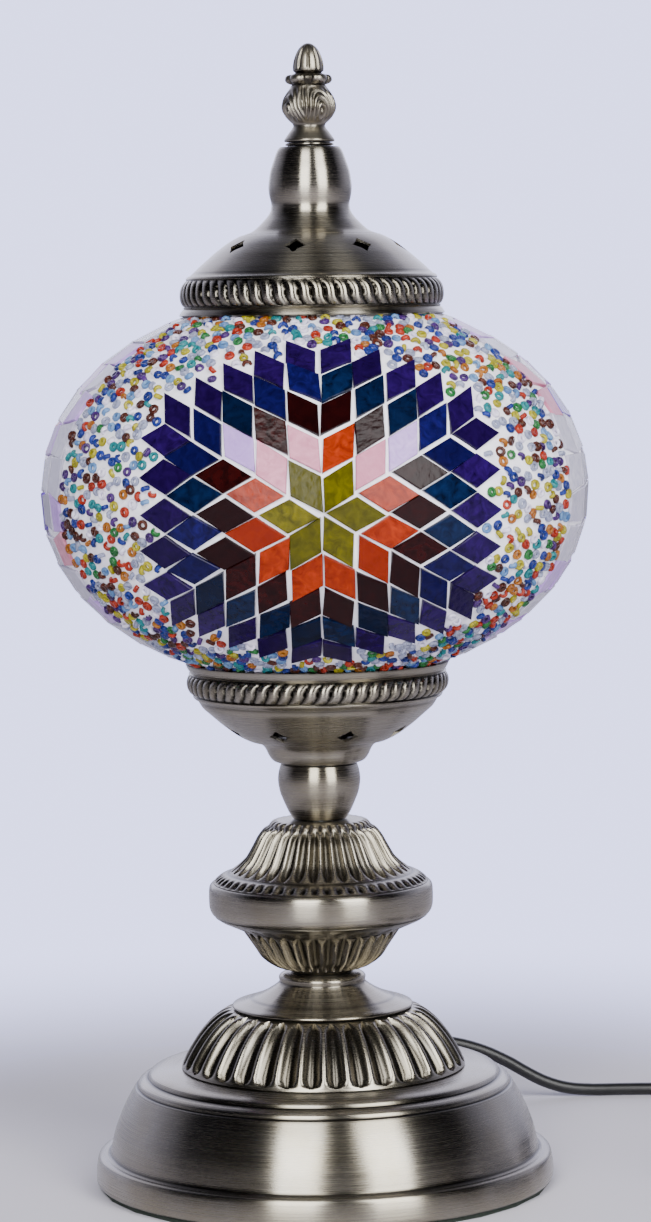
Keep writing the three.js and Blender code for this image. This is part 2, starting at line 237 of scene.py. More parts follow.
# Each turn's radius and height: four on the table, three between them, and one on top.
TURNS = [(35, 2.7), (30, 2.7), (25, 2.7), (20, 2.7),
         (22.5, 7.1), (27.5, 7.1), (32.5, 7.1), (30, 11.5)]
TURN_POINTS = 30
STEP_OVER = 0.8  # share of a turn after which the cord moves to the next turn's place
BEVEL_STEPS = 4  # in a quarter of the cord's section


def coil_points():
    points = []
    for index, (radius, height) in enumerate(TURNS):
        next_radius, next_height = TURNS[min(index + 1, len(TURNS) - 1)]
        for step in range(TURN_POINTS):
            share = step / TURN_POINTS
            over = max(0, (share - STEP_OVER) / (1 - STEP_OVER))
            over = over * over * (3 - 2 * over)
            r = radius + (next_radius - radius) * over
            z = height + (next_height - height) * over
            angle = -2 * math.pi * share
            points.append((COIL_CENTRE[0] + r * math.cos(angle),
                           COIL_CENTRE[1] + r * math.sin(angle), z))
    return points


def smooth(points, steps=4):
    """A Catmull-Rom curve through the points."""
    line = [Vector(p) for p in points]
    line = [2 * line[0] - line[1]] + line + [2 * line[-1] - line[-2]]
    out = []
    for a, b, c, d in zip(line, line[1:], line[2:], line[3:]):
        for step in range(steps):
            t = step / steps
            out.append(0.5 * (2 * b + (c - a) * t + (2 * a - 5 * b + 4 * c - d) * t**2
                              + (3 * b - a - 3 * c + d) * t**3))
    return out + [line[-2]]


def route_curve(name, points, radius):
    """A round cord along the points: a poly curve with a bevel."""
    curve = bpy.data.curves.new(name, "CURVE")
    curve.dimensions = "3D"
    curve.bevel_depth = radius * MM
    curve.bevel_resolution = BEVEL_STEPS
    curve.use_fill_caps = True
    spline = curve.splines.new("POLY")
    spline.points.add(len(points) - 1)
    for target, point in zip(spline.points, points):
        target.co = (*(Vector(point) * MM), 1)
    piece = bpy.data.objects.new(name, curve)
    bpy.context.collection.objects.link(piece)
    return piece


route = smooth(LEAD + THROUGH_SWITCH + TAIL) + smooth(coil_points() + LAST, 2)
lead = route_curve("mains_lead", route, CORD_RADIUS)
length = sum((b - a).length for a, b in zip(route, route[1:]))
print("lead, mm", round(length))

# %% [markdown]
# The lead's sheath is soft PVC: almost black, satin, with a faint extrusion ripple. The switch
# and the plug are moulded in harder black plastic, so they get their own finish with a fine
# spark-eroded grain. The strain relief gets black rubber.

# %% Black PVC and black moulded plastic
def grained_plastic(name, colour, roughness, grain_mm, depth_mm):
    material, tree, shader = new_material(name, Roughness=roughness, IOR=1.5)
    tinted(tree, shader, noise(tree, 90, 2), colour)
    bumped(tree, shader, noise(tree, 1 / (grain_mm * MM), 3), depth_mm)
    return material


pvc = grained_plastic("soft_pvc_sheath", [(0.3, 0x0C0C0D), (0.7, 0x161617)], 0.42, 1.6, 0.05)
moulded = grained_plastic("black_polycarbonate", [(0.3, 0x111112), (0.7, 0x1A1A1C)], 0.5, 0.7, 0.06)
rubber = grained_plastic("black_rubber", [(0.3, 0x0F0F0F), (0.7, 0x1B1B1A)], 0.75, 0.9, 0.08)
bakelite = grained_plastic("brown_bakelite", [(0.3, 0x17110E), (0.7, 0x241A15)], 0.32, 1.1, 0.03)

finished(lead, pvc, "base", "black_plastic", "cord_lead", "cord_tail", "cord_coil", "cord_end")

# %% [markdown]
# The brass is thin sheet, spun on a lathe or pressed in a die, then darkened with a patina and
# brushed back while it turns. So it is a warm grey metal with a ring grain, bright on every high
# place and nearly black in every groove. An attribute called patina says how deep each vertex
# lies, and the material darkens and dulls it there. The ring grain is drawn four times coarser
# than the real 0.1 mm scratches, or it wouldn't show.

# %% Antique brass
RING_GRAIN_MM = 0.4


def antique_brass(name, brushed, rough_low, rough_high, depth_mm):
    material, tree, shader = new_material(name, Metallic=1.0, Anisotropic=brushed,
                                          Anisotropic_Rotation=0.25)
    place = node(tree, "TexCoord").outputs["Object"]
    flat = node(tree, "VectorMath", {0: place, 1: (1, 1, 0)}, operation="MULTIPLY")
    radius = node(tree, "VectorMath", {"Vector": flat.outputs["Vector"]}, operation="LENGTH")
    parts = node(tree, "SeparateXYZ", {"Vector": place})
    drift = node(tree, "TexNoise", {"Vector": place}, Scale=14, Detail=1)
    rings = node(tree, "CombineXYZ", {"X": radius.outputs["Value"], "Y": parts.outputs["Z"]})
    shift = node(tree, "VectorMath", {0: drift.outputs["Color"], 1: (0.0006, 0.0006, 0),
                                      2: rings.outputs["Vector"]}, operation="MULTIPLY_ADD")
    grain = node(tree, "TexNoise", {"Vector": shift.outputs["Vector"]},
                 Scale=1 / (RING_GRAIN_MM * MM), Detail=4, Roughness=0.7)
    bright = ramp(tree, grain.outputs["Fac"], [(0.3, 0x7B756A), (0.7, 0x9C9688)])
    warm = ramp(tree, noise(tree, 55, 4), [(0.35, 0x867F6D), (0.65, 0x938F86)])
    body = node(tree, "Mix", {0: 0.5, 6: bright, 7: warm}, data_type="RGBA")
    patina = node(tree, "Attribute", attribute_name="patina")
    dark = node(tree, "Mix", {0: patina.outputs["Fac"], 6: body.outputs[2],
                              7: linear(0x12100E)}, data_type="RGBA")
    tree.links.new(dark.outputs[2], shader.inputs["Base Color"])
    rough = node(tree, "MapRange", {"Value": grain.outputs["Fac"]}, From_Min=0.3, From_Max=0.7,
                 To_Min=rough_low, To_Max=rough_high)
    tree.links.new(rough.outputs["Result"], shader.inputs["Roughness"])
    tangent = node(tree, "Tangent", direction_type="RADIAL", axis="Z")
    tree.links.new(tangent.outputs["Tangent"], shader.inputs["Tangent"])
    bumped(tree, shader, grain.outputs["Fac"], depth_mm)
    return material


brass = antique_brass("antique_spun_brass", 0.9, 0.22, 0.31, 0.007)
pressed_brass = antique_brass("antique_pressed_brass", 0.4, 0.24, 0.32, 0.003)
cast_brass = antique_brass("antique_cast_brass", 0, 0.27, 0.36, 0.001)
print("brass", brass.name, pressed_brass.name, cast_brass.name)

# %% [markdown]
# Every brass piece is drawn as half of its outline, in stretches that are each smoothed by
# themselves, so that a corner between two stretches stays crisp. Spin turns the outline into a
# sheet, a relief function presses flutes, rope or pits into it, as the die did, and Solidify gives
# the sheet its thickness inwards.

# %% Spinning and pressing
def stretched(stretches, steps):
    """One line of smooth stretches, with a corner where each starts from the last one's end."""
    line = []
    for stretch in stretches:
        points = line[-1:] + [Vector((r, 0, z)) for r, z in stretch]
        if len(points) > 2:
            points = smooth(points, steps)
        line += points[1:] if line else points
    return line


def spun(name, stretches, base, flip=False, sides=128, wall=1.2, steps=4, relief=None):
    """A turned sheet. Its outline is in millimetres above the base, or below it if flipped."""
    sign = -1 if flip else 1
    points = [(p.x * MM, 0, (base + sign * p.z) * MM) for p in stretched(stretches, steps)]
    piece = new_piece(name, points, [(i, i + 1) for i in range(len(points) - 1)], [])
    mesh = piece.data
    opened(piece)
    bpy.ops.mesh.spin(steps=sides, angle=2 * math.pi, center=(0, 0, 0), axis=(0, 0, 1))
    bpy.ops.mesh.select_all(action="SELECT")
    bpy.ops.mesh.remove_doubles(threshold=1e-6)
    bpy.ops.mesh.normals_make_consistent(inside=False)
    bpy.ops.object.mode_set(mode="OBJECT")
    outward = sum(f.normal.x * f.center.x + f.normal.y * f.center.y for f in mesh.polygons)
    if outward < 0:
        opened(piece)
        bpy.ops.mesh.flip_normals()
        bpy.ops.object.mode_set(mode="OBJECT")
    patina = mesh.attributes.new("patina", "FLOAT", "POINT")
    if relief:
        normals = [v.normal.copy() for v in mesh.vertices]
        for vertex, normal in zip(mesh.vertices, normals):
            angle = math.atan2(vertex.co.x, -vertex.co.y)
            height = sign * (vertex.co.z / MM - base)
            push, depth = relief(angle, height, math.hypot(vertex.co.x, vertex.co.y) / MM)
            patina.data[vertex.index].value = depth
            vertex.co += normal * push * MM
    if wall:
        modified(piece, "SOLIDIFY", thickness=wall * MM, offset=-1)
    return piece


def bell_curve(x, centre, width):
    return math.exp(-(((x - centre) / width) ** 2))


def share_of_pitch(angle, count, slant=0.0):
    """Where an angle lies between two ridges: -0.5 to 0.5, with 0 in the groove's middle."""
    turn = (angle / (2 * math.pi)) * count + slant
    return turn - math.floor(turn) - 0.5


FLUTE_HALF_WIDTH = 0.34  # as a share of the pitch


def flutes(count, low, high, depth, round_low, round_high, grooves=()):
    """Round-ended flutes between two heights, with narrow lips between them."""
    def relief(angle, height, radius):
        recess = sum(bell_curve(height, g, 0.35) for g in grooves)
        if not low < height < high:
            return -0.25 * recess, min(1, 0.8 * recess)
        ends = min(1, (height - low) / round_low), min(1, (high - height) / round_high)
        room = min(math.sqrt(1 - (1 - end) ** 2) for end in ends)
        reach = FLUTE_HALF_WIDTH * room
        across = abs(share_of_pitch(angle, count))
        if reach < 0.02 or across > reach:
            return 0.6 * room * max(0, 1 - ((0.5 - across) / (0.5 - reach)) ** 2), 0
        hollow = math.cos(0.5 * math.pi * across / reach)
        return -depth * hollow ** 0.7, 0.3 + 0.5 * hollow
    return relief


def darkened(*seams):
    """A relief that only darkens seams. Each is (height, width, patina)."""
    def relief(angle, height, radius):
        return 0, max(patina * bell_curve(height, at, width) for at, width, patina in seams)
    return relief


print("reliefs: flutes and darkened seams")

# %% [markdown]
# The foot is a bell with a rolled rim. Two turned grooves with a bead between them run round its
# shoulder, and a flat shelf carries the fluted dome.

# %% Foot
foot = spun("foot_bell", [
    [(84.7, 0), (85.6, 0.7), (85.9, 2.2), (85.7, 6), (85.2, 9.2)],
    [(84.6, 10.3), (83.3, 10.8), (81.7, 10.7)],
    [(80.5, 11.6), (79.8, 14.6)],
    [(78.6, 19.4), (76.6, 24.8), (74.2, 30), (71.6, 34.6), (70.9, 35.7)],
    [(70.1, 36.1), (69.9, 36.7)],
    [(69.4, 37.7), (68, 38.6), (66.9, 38.9)],
    [(66.1, 39.3), (65.8, 39.8)],
    [(64.9, 41), (62, 41.9), (57, 42.2), (52, 42.4), (30, 42.5)],
], base_of("base_shell"), sides=160,
    relief=darkened((36.1, 0.45, 1), (39.35, 0.4, 1), (11.3, 0.7, 0.7), (0, 0.6, 0.6)))
finished(foot, brass, "base", "antique_brass", "base_shell", angle=25)

# %% [markdown]
# The dome is pressed with 36 flutes that end in round scallops just above the shelf, and a collar
# with a flared skirt covers their tops.

# %% Dome and collar
DOME_FLUTES = 36
dome = spun("fluted_dome_pressing", [
    [(53.2, 0), (52.9, 0.8), (51.9, 2.2)],
    [(50.5, 4.9), (48.3, 8.6), (45.6, 12.4), (41.9, 16.5), (37.4, 19.9), (33, 21.7),
     (26, 21.9)],
], base_of("fluted_dome"), sides=DOME_FLUTES * 10, steps=5, wall=1.0,
    relief=flutes(DOME_FLUTES, 0.9, 21.2, 2.0, 3.6, 2.4))
finished(dome, pressed_brass, "base", "antique_brass", "fluted_dome", angle=50)

collar = spun("dome_collar_spinning", [
    [(33.4, 0), (33.9, 0.4), (33.6, 1), (32.6, 1.4)],
    [(30.4, 2), (28.4, 2.7), (26.6, 3.3)],
    [(24, 4.3), (21, 5.8), (18.4, 7.4), (16.8, 8.6)],
    [(16.1, 9.6), (16.3, 11.2), (15.4, 12.3), (13.8, 12.8), (9, 12.9)],
], base_of("dome_collar"), relief=darkened((3.3, 0.3, 0.6), (9.6, 0.4, 0.6)))
finished(collar, brass, "base", "antique_brass", "dome_collar")

# %% [markdown]
# The knob is three pressings: a fluted underside, a plain turned band that takes the brightest
# reflections, and a fluted shoulder with a row of small dark pits round its edge and a ring of
# beads at its neck.

# %% Knob
PITS, NECK_BEADS, SHOULDER_FLUTES, UNDERSIDE_FLUTES = 56, 30, 36, 32
shoulder_flutes = flutes(SHOULDER_FLUTES, 4.1, 20.5, 1.4, 3.2, 2, grooves=(3.5,))
underside_flutes = flutes(UNDERSIDE_FLUTES, 1.8, 16.2, 1.4, 1.2, 3, grooves=(16.5,))


def shoulder_relief(angle, height, radius):
    if height < 3.1:
        across = abs(share_of_pitch(angle, PITS))
        along = max(0, 1 - ((height - 1.6) / 1.35) ** 2)
        hollow = max(0, 1 - (across / 0.33) ** 2) * along
        return -0.9 * hollow, min(1, 0.2 + 0.9 * hollow)
    if height > 20.6:
        across = abs(share_of_pitch(angle, NECK_BEADS))
        along = max(0, 1 - ((height - 21.8) / 1.2) ** 2)
        bead = math.sqrt(max(0, 1 - (across / 0.46) ** 2)) * along
        return 0.9 * bead, 0.7 * max(0, 1 - 2 * bead) * (height < 23)
    return shoulder_flutes(angle, height, radius)


def underside_relief(angle, height, radius):
    if height > 16.6:
        across = abs(share_of_pitch(angle, UNDERSIDE_FLUTES, 0.5))
        leaf = max(0, 1 - ((height - 18) / 1.6) ** 2) * max(0, 1 - (across / 0.4) ** 2)
        return -0.5 * leaf, 0.35 + 0.5 * leaf
    return underside_flutes(angle, height, radius)


underside = spun("knob_underside_pressing", [
    [(9, 0), (11.4, 0.1), (12.6, 1), (15.4, 2.1), (18.6, 3.6), (21, 5.3), (22.9, 7.2), (24.5, 9.7),
     (26.3, 12.4), (27.9, 14.6), (29.8, 16.4), (33.4, 18.1), (37.4, 19.9), (39.8, 21.4)],
], base_of("knob_lower"), sides=UNDERSIDE_FLUTES * 10, wall=0.9, relief=underside_relief)
finished(underside, pressed_brass, "base", "antique_brass", "knob_lower", angle=50)

band = spun("knob_band_turning", [
    [(39.7, 0), (40.9, 1.1), (41.7, 2.8), (41.95, 4.6)],
    [(42, 7), (41.95, 9.4)],
    [(41.7, 11), (41, 12), (40.2, 12.4)],
], base_of("knob_band"), sides=144, relief=darkened((0, 0.8, 0.6), (12.4, 0.5, 0.5)))
finished(band, brass, "base", "antique_brass", "knob_band")

shoulder = spun("knob_shoulder_pressing", [
    [(40.2, 0), (39.2, 1.1), (37.6, 2.3), (35.8, 3.1)],
    [(34.2, 3.7), (31, 5.4), (28.7, 7.3), (27.2, 9), (25.6, 11.7), (24.1, 14.4),
     (22.6, 17.1), (20.4, 19.7), (17.4, 21.9)],
    [(16.4, 22.9), (14, 23.2), (9, 23.2)],
], base_of("knob_upper"), sides=PITS * 9, wall=0.9, relief=shoulder_relief)
finished(shoulder, pressed_brass, "base", "antique_brass", "knob_upper", angle=50)

# %% [markdown]
# The two vases are small turned necks with a swelling at one end. The lower one stands with its
# narrow end down under a short flare. The upper one is turned over, and its flare is soldered to
# it, so that no seam shows: they are one piece here.

# %% Vases, flare and washer
vase = spun("cup_vase_turning", [
    [(8, 0), (9.9, 0)],
    [(10.3, 0.4), (11.8, 3), (13.4, 6.6), (14.7, 10), (15.4, 14.2), (15.1, 17.6),
     (14.3, 20.5)],
    [(12, 20.6)],
], base_of("cup_vase"), relief=darkened((0, 0.4, 0.6)))
finished(vase, brass, "base", "antique_brass", "cup_vase")

neck = spun("cap_neck_turning", [
    [(8, 0), (11, 0)],
    [(11.7, 0.8), (12.4, 2.2), (13.4, 5), (14.6, 8.6), (15.2, 12.2), (15.4, 15),
     (15.1, 17.8), (14.5, 20.4), (14.5, 22), (14.9, 23.6), (16, 25.4), (17.6, 27.2), (19.4, 29),
     (21.6, 30.8), (24.6, 31.95)],
], top_of("cap_vase"), flip=True, relief=darkened((0, 0.4, 0.6)))
finished(neck, brass, "cap", "antique_brass", "cap_vase", "cap_flare")

flare = spun("cup_flare_turning", [
    [(10, 0), (14.2, 0)],
    [(16.6, 0.7), (17.9, 1.8), (18.9, 3.4)],
    [(19.6, 5), (20.7, 6.6), (22.6, 7.9)],
], base_of("cup_flare"), relief=darkened((0, 0.3, 0.5)))
finished(flare, brass, "base", "antique_brass", "cup_flare")

washer = spun("finial_seat_washer", [
    [(3.4, 0), (8.2, 0)],
    [(8.9, 0.3), (8.9, 0.8), (8.2, 1.1)],
    [(3.4, 1.1), (3.4, 0)],
], base_of("finial_washer"), wall=0)
finished(washer, brass, "finial_seat", "antique_brass", "finial_washer")

# %% [markdown]
# The two galleries hold the globe between them. Each is one pressing: a smooth dome with eight
# star-shaped vents cut through it, a smooth ring, a rope of 64 slanting gadroons, a plain bead and
# a short skirt. The lower one is the same shape turned over. The stars are cut by a Boolean.

# %% Galleries
ROPES = 64
ROPE_SECTION = [(47.8, 0.08), (48.2, 0.23), (48.3, 0.4), (48.2, 0.55), (47.9, 0.72), (47.3, 0.86)]
VENTS, STAR_RADIUS, STAR_WAIST, STAR_DEPTH = 8, 4.2, 0.62, 9
VENT_OUT, VENT_UP, DOME_SLOPE = 32.6, 24.8, 0.62  # a vent's place on the dome, and the lean there


def rope_relief(low, high):
    """The rope lies between the heights low and high above the open edge."""
    def relief(angle, height, radius):
        if low < height < high:
            share = (height - low) / (high - low)
            slant = 0.9 * (share - 0.5) + 0.12 * math.sin(2 * math.pi * share)
            across = abs(share_of_pitch(angle, ROPES, slant))
            swell = math.sqrt(max(0, math.sin(math.pi * share)))
            strand = 1.5 * math.sqrt(max(0, 1 - (across / 0.5) ** 2)) - 0.9
            return swell * strand, min(1, (2.2 * across) ** 2.2)
        seams = bell_curve(height, low - 0.1, 0.35) + bell_curve(height, high + 0.1, 0.4)
        edges = 0.6 * bell_curve(height, high + 2.9, 0.3) + 0.5 * bell_curve(height, 0, 0.4)
        return -0.2 * seams, min(1, 0.85 * seams + edges)
    return relief


def stars(edge, sign, first_vent):
    """Eight star-shaped cutters, set round the dome at right angles to it."""
    bpy.ops.mesh.primitive_cylinder_add(vertices=8, radius=STAR_RADIUS * MM,
                                        depth=STAR_DEPTH * MM)
    cutter = bpy.context.active_object
    for vertex in cutter.data.vertices:
        corner = round(math.atan2(vertex.co.y, vertex.co.x) / (math.pi / 4))
        if corner % 2:
            vertex.co.x *= STAR_WAIST
            vertex.co.y *= STAR_WAIST
    tip = Matrix.Rotation(DOME_SLOPE if sign > 0 else math.pi - DOME_SLOPE, 4, "X")
    out = Matrix.Translation((0, -VENT_OUT * MM, (edge + sign * VENT_UP) * MM))
    together = bmesh.new()
    for index in range(VENTS):
        azimuth = math.radians(first_vent + 360 / VENTS * index)
        star = cutter.data.copy()
        star.transform(Matrix.Rotation(azimuth, 4, "Z") @ out @ tip)
        together.from_mesh(star)
        bpy.data.meshes.remove(star)
    together.to_mesh(cutter.data)
    together.free()
    return cutter


def gallery(name, edge, low, high, flip, first_vent, body, cad):
    outline = [
        [(49.2, 0), (48.4, 0.45 * low), (47.4, 0.8 * low)],
        [(48.1, 0.9 * low), (47.3, low)],
        [(r, low + share * (high - low)) for r, share in ROPE_SECTION] + [(46.4, high)],
        [(46.6, high + 0.6), (45.9, high + 1.5), (44.9, high + 1.9)],
        [(43.2, 16.2), (41.4, 17.9), (38.9, 20.1), (36, 22.6), (33.4, 24.6),
         (30.6, 26.6), (27.4, 28.4), (24.2, 29.5), (18, 29.7), (9, 29.7)],
    ]
    piece = spun(name, outline, edge, flip, sides=ROPES * 8, steps=3, wall=1.0,
                 relief=rope_relief(low, high))
    cutter = stars(edge, -1 if flip else 1, first_vent)
    modified(piece, "BOOLEAN", operation="DIFFERENCE", object=cutter, solver="EXACT")
    bpy.data.objects.remove(cutter)
    finished(piece, brass, body, "antique_brass", cad, angle=42)


gallery("cap_gallery_pressing", base_of("cap_gallery"), 3.2, 12.7, False, -55.5, "cap",
        "cap_gallery")
gallery("cup_gallery_pressing", top_of("cup_gallery"), 3.9, 11.5, True, -26, "base",
        "cup_gallery")

# %% [markdown]
# The finial is a small brass casting, screwed down on the stud to clamp the cap. From the tip it
# has an acorn with eight upright grooves, a collar of leaf curls, a bulb wrapped in swirling leaf
# arcs, a waist and a conical flange. The casting is worn, so the relief is soft and the hollows
# are dark.

# %% Finial
FLANGE_TOP, BULB_TOP, COLLAR_TOP = 7, 20.4, 25.8


def finial_relief(angle, height, radius):
    if height > COLLAR_TOP:
        across = abs(share_of_pitch(angle, 10))
        groove = max(0, 1 - ((0.5 - across) / 0.22) ** 2) if across > 0.28 else 0
        fade = min(1, (height - COLLAR_TOP) / 2) * min(1, max(0, 35.6 - height) / 3)
        dark = 0.7 * groove * fade + 0.5 * bell_curve(height, 26.2, 0.5)
        return -0.6 * groove * fade, min(1, dark)
    if height > BULB_TOP:
        across = abs(share_of_pitch(angle, 5))
        rise = math.sin(math.pi * min(1, (height - BULB_TOP) / 5.2))
        curl = math.sqrt(max(0, 1 - (across / 0.36) ** 2)) * rise
        return 1.9 * curl - 0.9, min(1, 0.8 - 0.8 * curl)
    if height > FLANGE_TOP:
        share = (height - FLANGE_TOP) / (BULB_TOP - FLANGE_TOP)
        turn = share_of_pitch(angle, 4, 0.1 + 0.12 * share)
        beside = turn * 2 * math.pi * max(radius, 6) / 4
        arc = math.hypot(beside * 1.35, 0.72 * (height - 10.6))
        swirl = math.cos(2 * math.pi * arc / 2.1)
        fade = min(1, 3 * share) * min(1, 3 * (1 - share))
        return 0.4 * swirl * fade, min(1, max(0, 0.2 - 0.4 * swirl) * fade + 0.1)
    return 0, 0.5 * bell_curve(height, 6, 0.9) + 0.4 * bell_curve(height, 0.8, 0.3)


finial = spun("finial_casting", [
    [(3.4, 0), (8.2, 0)],
    [(9.2, 0.2), (9.3, 0.8)],
    [(8.6, 1.9), (7.3, 3.7), (6.3, 5), (5.9, 6), (6.2, 6.8)],
    [(7.4, 8), (8.6, 9.6), (9.5, 11.6), (9.7, 13.2), (9.2, 15.4), (8.2, 17.6),
     (7, 19.6), (6.6, 20.4)],
    [(7.2, 21.4), (7.9, 22.8), (7.7, 24.4), (6.4, 25.4), (5.6, 25.8)],
    [(5.7, 27.4), (5.4, 29.6), (4.6, 32), (3.5, 34), (2.2, 35.4), (0.9, 36.1), (0, 36.2)],
], base_of("finial"), sides=280, wall=0, steps=6, relief=finial_relief)
finished(finial, cast_brass, "finial", "antique_brass", "finial", angle=60)

# %% [markdown]
# The globe is blown soda glass with an opening at the top and bottom. Its section is a slightly
# squared ellipse, a little deeper above its widest place than below. Everything laid on the glass
# follows that same surface, so one function gives the point at an azimuth and a length up the
# meridian, at any depth under the mosaic's face.

# %% The globe's surface
GLOBE_RADIUS, GLOBE_UP, GLOBE_DOWN, EQUATOR = 101.4, 73.0, 70.8, 260.0
POWER = 2 / 2.08
ARC_STEP, ARC_STEPS = math.radians(0.25), 340
NUDGE = 0.004  # radians, for the slope


def section(t, inset=0.0):
    """Radius and height above the equator. t runs from -90 degrees to 90, in radians."""
    half = GLOBE_UP if t > 0 else GLOBE_DOWN
    return ((GLOBE_RADIUS - inset) * math.cos(t) ** POWER,
            (half - inset) * abs(math.sin(t)) ** POWER * (1 if t > 0 else -1))


ARC = {0: 0.0}
for side in (1, -1):
    before, total = section(0), 0.0
    for index in range(1, ARC_STEPS):
        now = section(side * index * ARC_STEP)
        total += math.dist(before, now)
        ARC[side * index] = side * total
        before = now


def at_arc(v):
    """The section's angle at a length v up the meridian from the equator, in millimetres."""
    side = 1 if v > 0 else -1
    low, high = 0, ARC_STEPS - 1
    while high - low > 1:
        middle = (low + high) // 2
        low, high = (middle, high) if abs(ARC[side * middle]) < abs(v) else (low, middle)
    gap = abs(ARC[side * high]) - abs(ARC[side * low])
    return side * (low + (abs(v) - abs(ARC[side * low])) / gap) * ARC_STEP


def on_globe(azimuth, v, inset=0.0):
    """The point in millimetres and the outward normal. Azimuth 0 is the front, in radians."""
    t = at_arc(v)
    r, z = section(t, inset)
    ahead, behind = section(t + NUDGE), section(t - NUDGE)
    along = Vector((ahead[0] - behind[0], ahead[1] - behind[1])).normalized()
    out = Vector((math.sin(azimuth), -math.cos(azimuth), 0))
    return out * r + Vector((0, 0, EQUATOR + z)), (out * along.y - Vector((0, 0, 1)) * along.x)


print("meridian, mm", round(ARC[ARC_STEPS - 1] - ARC[1 - ARC_STEPS], 1))

# %% [markdown]
# The clear glass is 2.8 mm thick, blown in a mould, so its face waves a little. White plaster
# filler covers it under the tiles and beads, and is slightly uneven and matt.

# %% Clear glass and filler
SHELL_STEPS = 72


def shell(name, inset, wall, edge, material, slot, cad):
    """A wall following the globe, between openings of the radius `edge`."""
    top, bottom = [side * math.acos((edge / (GLOBE_RADIUS - inset)) ** (1 / POWER))
                   for side in (1, -1)]
    line = [section(bottom + (top - bottom) * i / SHELL_STEPS, inset)
            for i in range(SHELL_STEPS + 1)]
    piece = spun(name, [line], EQUATOR, sides=160, wall=wall, steps=1)
    finished(piece, material, "globe", slot, cad, angle=50)


def clear_glass(name, tint, roughness=0.02):
    material, tree, shader = new_material(name, Transmission_Weight=1.0, IOR=1.5,
                                          Roughness=roughness)
    waves = noise(tree, 60, 2)
    tinted(tree, shader, waves, tint)
    bumped(tree, shader, waves, 0.3, 0.5)
    return material


def filler():
    material, tree, shader = new_material("white_plaster_grout", Roughness=0.85, IOR=1.5)
    tinted(tree, shader, noise(tree, 180, 4), [(0.3, 0xEBE8F4), (0.7, 0xFAF9FF)])
    bumped(tree, shader, noise(tree, 1100, 3), 0.2)
    return material


soda_glass = clear_glass("blown_soda_glass", [(0.3, 0xE6EEEA), (0.7, 0xF4F7F4)])
shell("globe_blown_glass", 2.9, 2.8, 42.2, soda_glass, "clear_glass", "globe_glass")
shell("globe_filler", 1.1, 1.6, 44.7, filler(), "mosaic", "globe_mosaic")

# %% [markdown]
# Each medallion is laid from 90 diamonds cut from coloured stained glass. Six sectors of a
# diamond lattice meet in the middle, so the colours form star-shaped rings: olive, orange, maroon,
# teal and blue, and indigo. The tiles are cut by hand, so no two have quite the same size or place.
# A diamond is a flat slip of glass with its upper edges ground a little.

# %% Coloured glass
random.seed(7)


def stained_glass(name, deep, light, roughness=0.15, transmission=0.1):
    """Glass with streaks and small bubbles, and a foil-bright hue where the plaster lights it."""
    material, tree, shader = new_material(name, Roughness=roughness, IOR=1.5,
                                          Specular_IOR_Level=0.1,
                                          Transmission_Weight=transmission)
    hue = ramp(tree, noise(tree, 240, 5, Distortion=1.2), [(0.32, deep), (0.7, light)])
    tint = node(tree, "Attribute", attribute_name="tile_shade")
    shade = node(tree, "Mix", {0: tint.outputs["Fac"], 6: hue, 7: linear(deep)},
                 data_type="RGBA")
    tree.links.new(shade.outputs[2], shader.inputs["Base Color"])
    bumped(tree, shader, noise(tree, 320, 2), 0.12)
    return material


TILE_COLOURS = {  # deep and light
    "olive": (0x3A3808, 0x78700F), "orange": (0x6E1A05, 0x9E300E),
    "maroon": (0x120203, 0x300808), "teal": (0x040A1E, 0x0D2044), "blue": (0x07052A, 0x181258),
    "indigo": (0x0E0228, 0x280A56), "pink": (0xB8708A, 0xE09AB0),
    "lavender": (0xA884CC, 0xCEB0E8), "pale": (0xCFCBE0, 0xEFECF8),
    "violet": (0x5A3FA0, 0x8A70CC),
}
TILE_GLASS = {name: stained_glass(name + "_stained_glass", deep, light,
                                  transmission=0.5 if name == "pale" else 0.1)
              for name, (deep, light) in TILE_COLOURS.items()}
print("stained glass", *TILE_GLASS)

# %% [markdown]
# A tile is a flat slip of glass laid on the curved globe: its corners are moved along the normal
# at its middle until they lie in one plane. Its upper edges are ground off a little.

# %% Laying tiles on the globe
TILE_PITCH, TILE_SIDE = 13.5, 12.45
TILE_DEPTH, GROUND_EDGE, GROUND_RISE = 1.5, 0.35, 0.25
tiles = {name: [] for name in TILE_GLASS}


def polar(u_at, v_at, centre):
    """The azimuth and the meridian length of a place u to the right and v up from a centre."""
    return centre + u_at / section(at_arc(v_at))[0], v_at


def tile(colour, corners, centre):
    """Adds a tile whose corners are (u, v) places in order round it."""
    middle = [sum(c[axis] for c in corners) / len(corners) for axis in (0, 1)]
    face, normal = on_globe(*polar(*middle, centre))
    points = [on_globe(*polar(u, v, centre))[0] for u, v in corners]
    plane = sum((p - face).dot(normal) for p in points) / len(points)
    points = [p - normal * ((p - face).dot(normal) - plane) for p in points]
    core = sum(points, Vector()) / len(points)
    tops = [core + (p - core) * (1 - GROUND_EDGE / max(1, (p - core).length))
            + normal * GROUND_RISE for p in points]
    floors = [p - normal * TILE_DEPTH for p in points]
    tiles[colour].append((tops, points, floors))


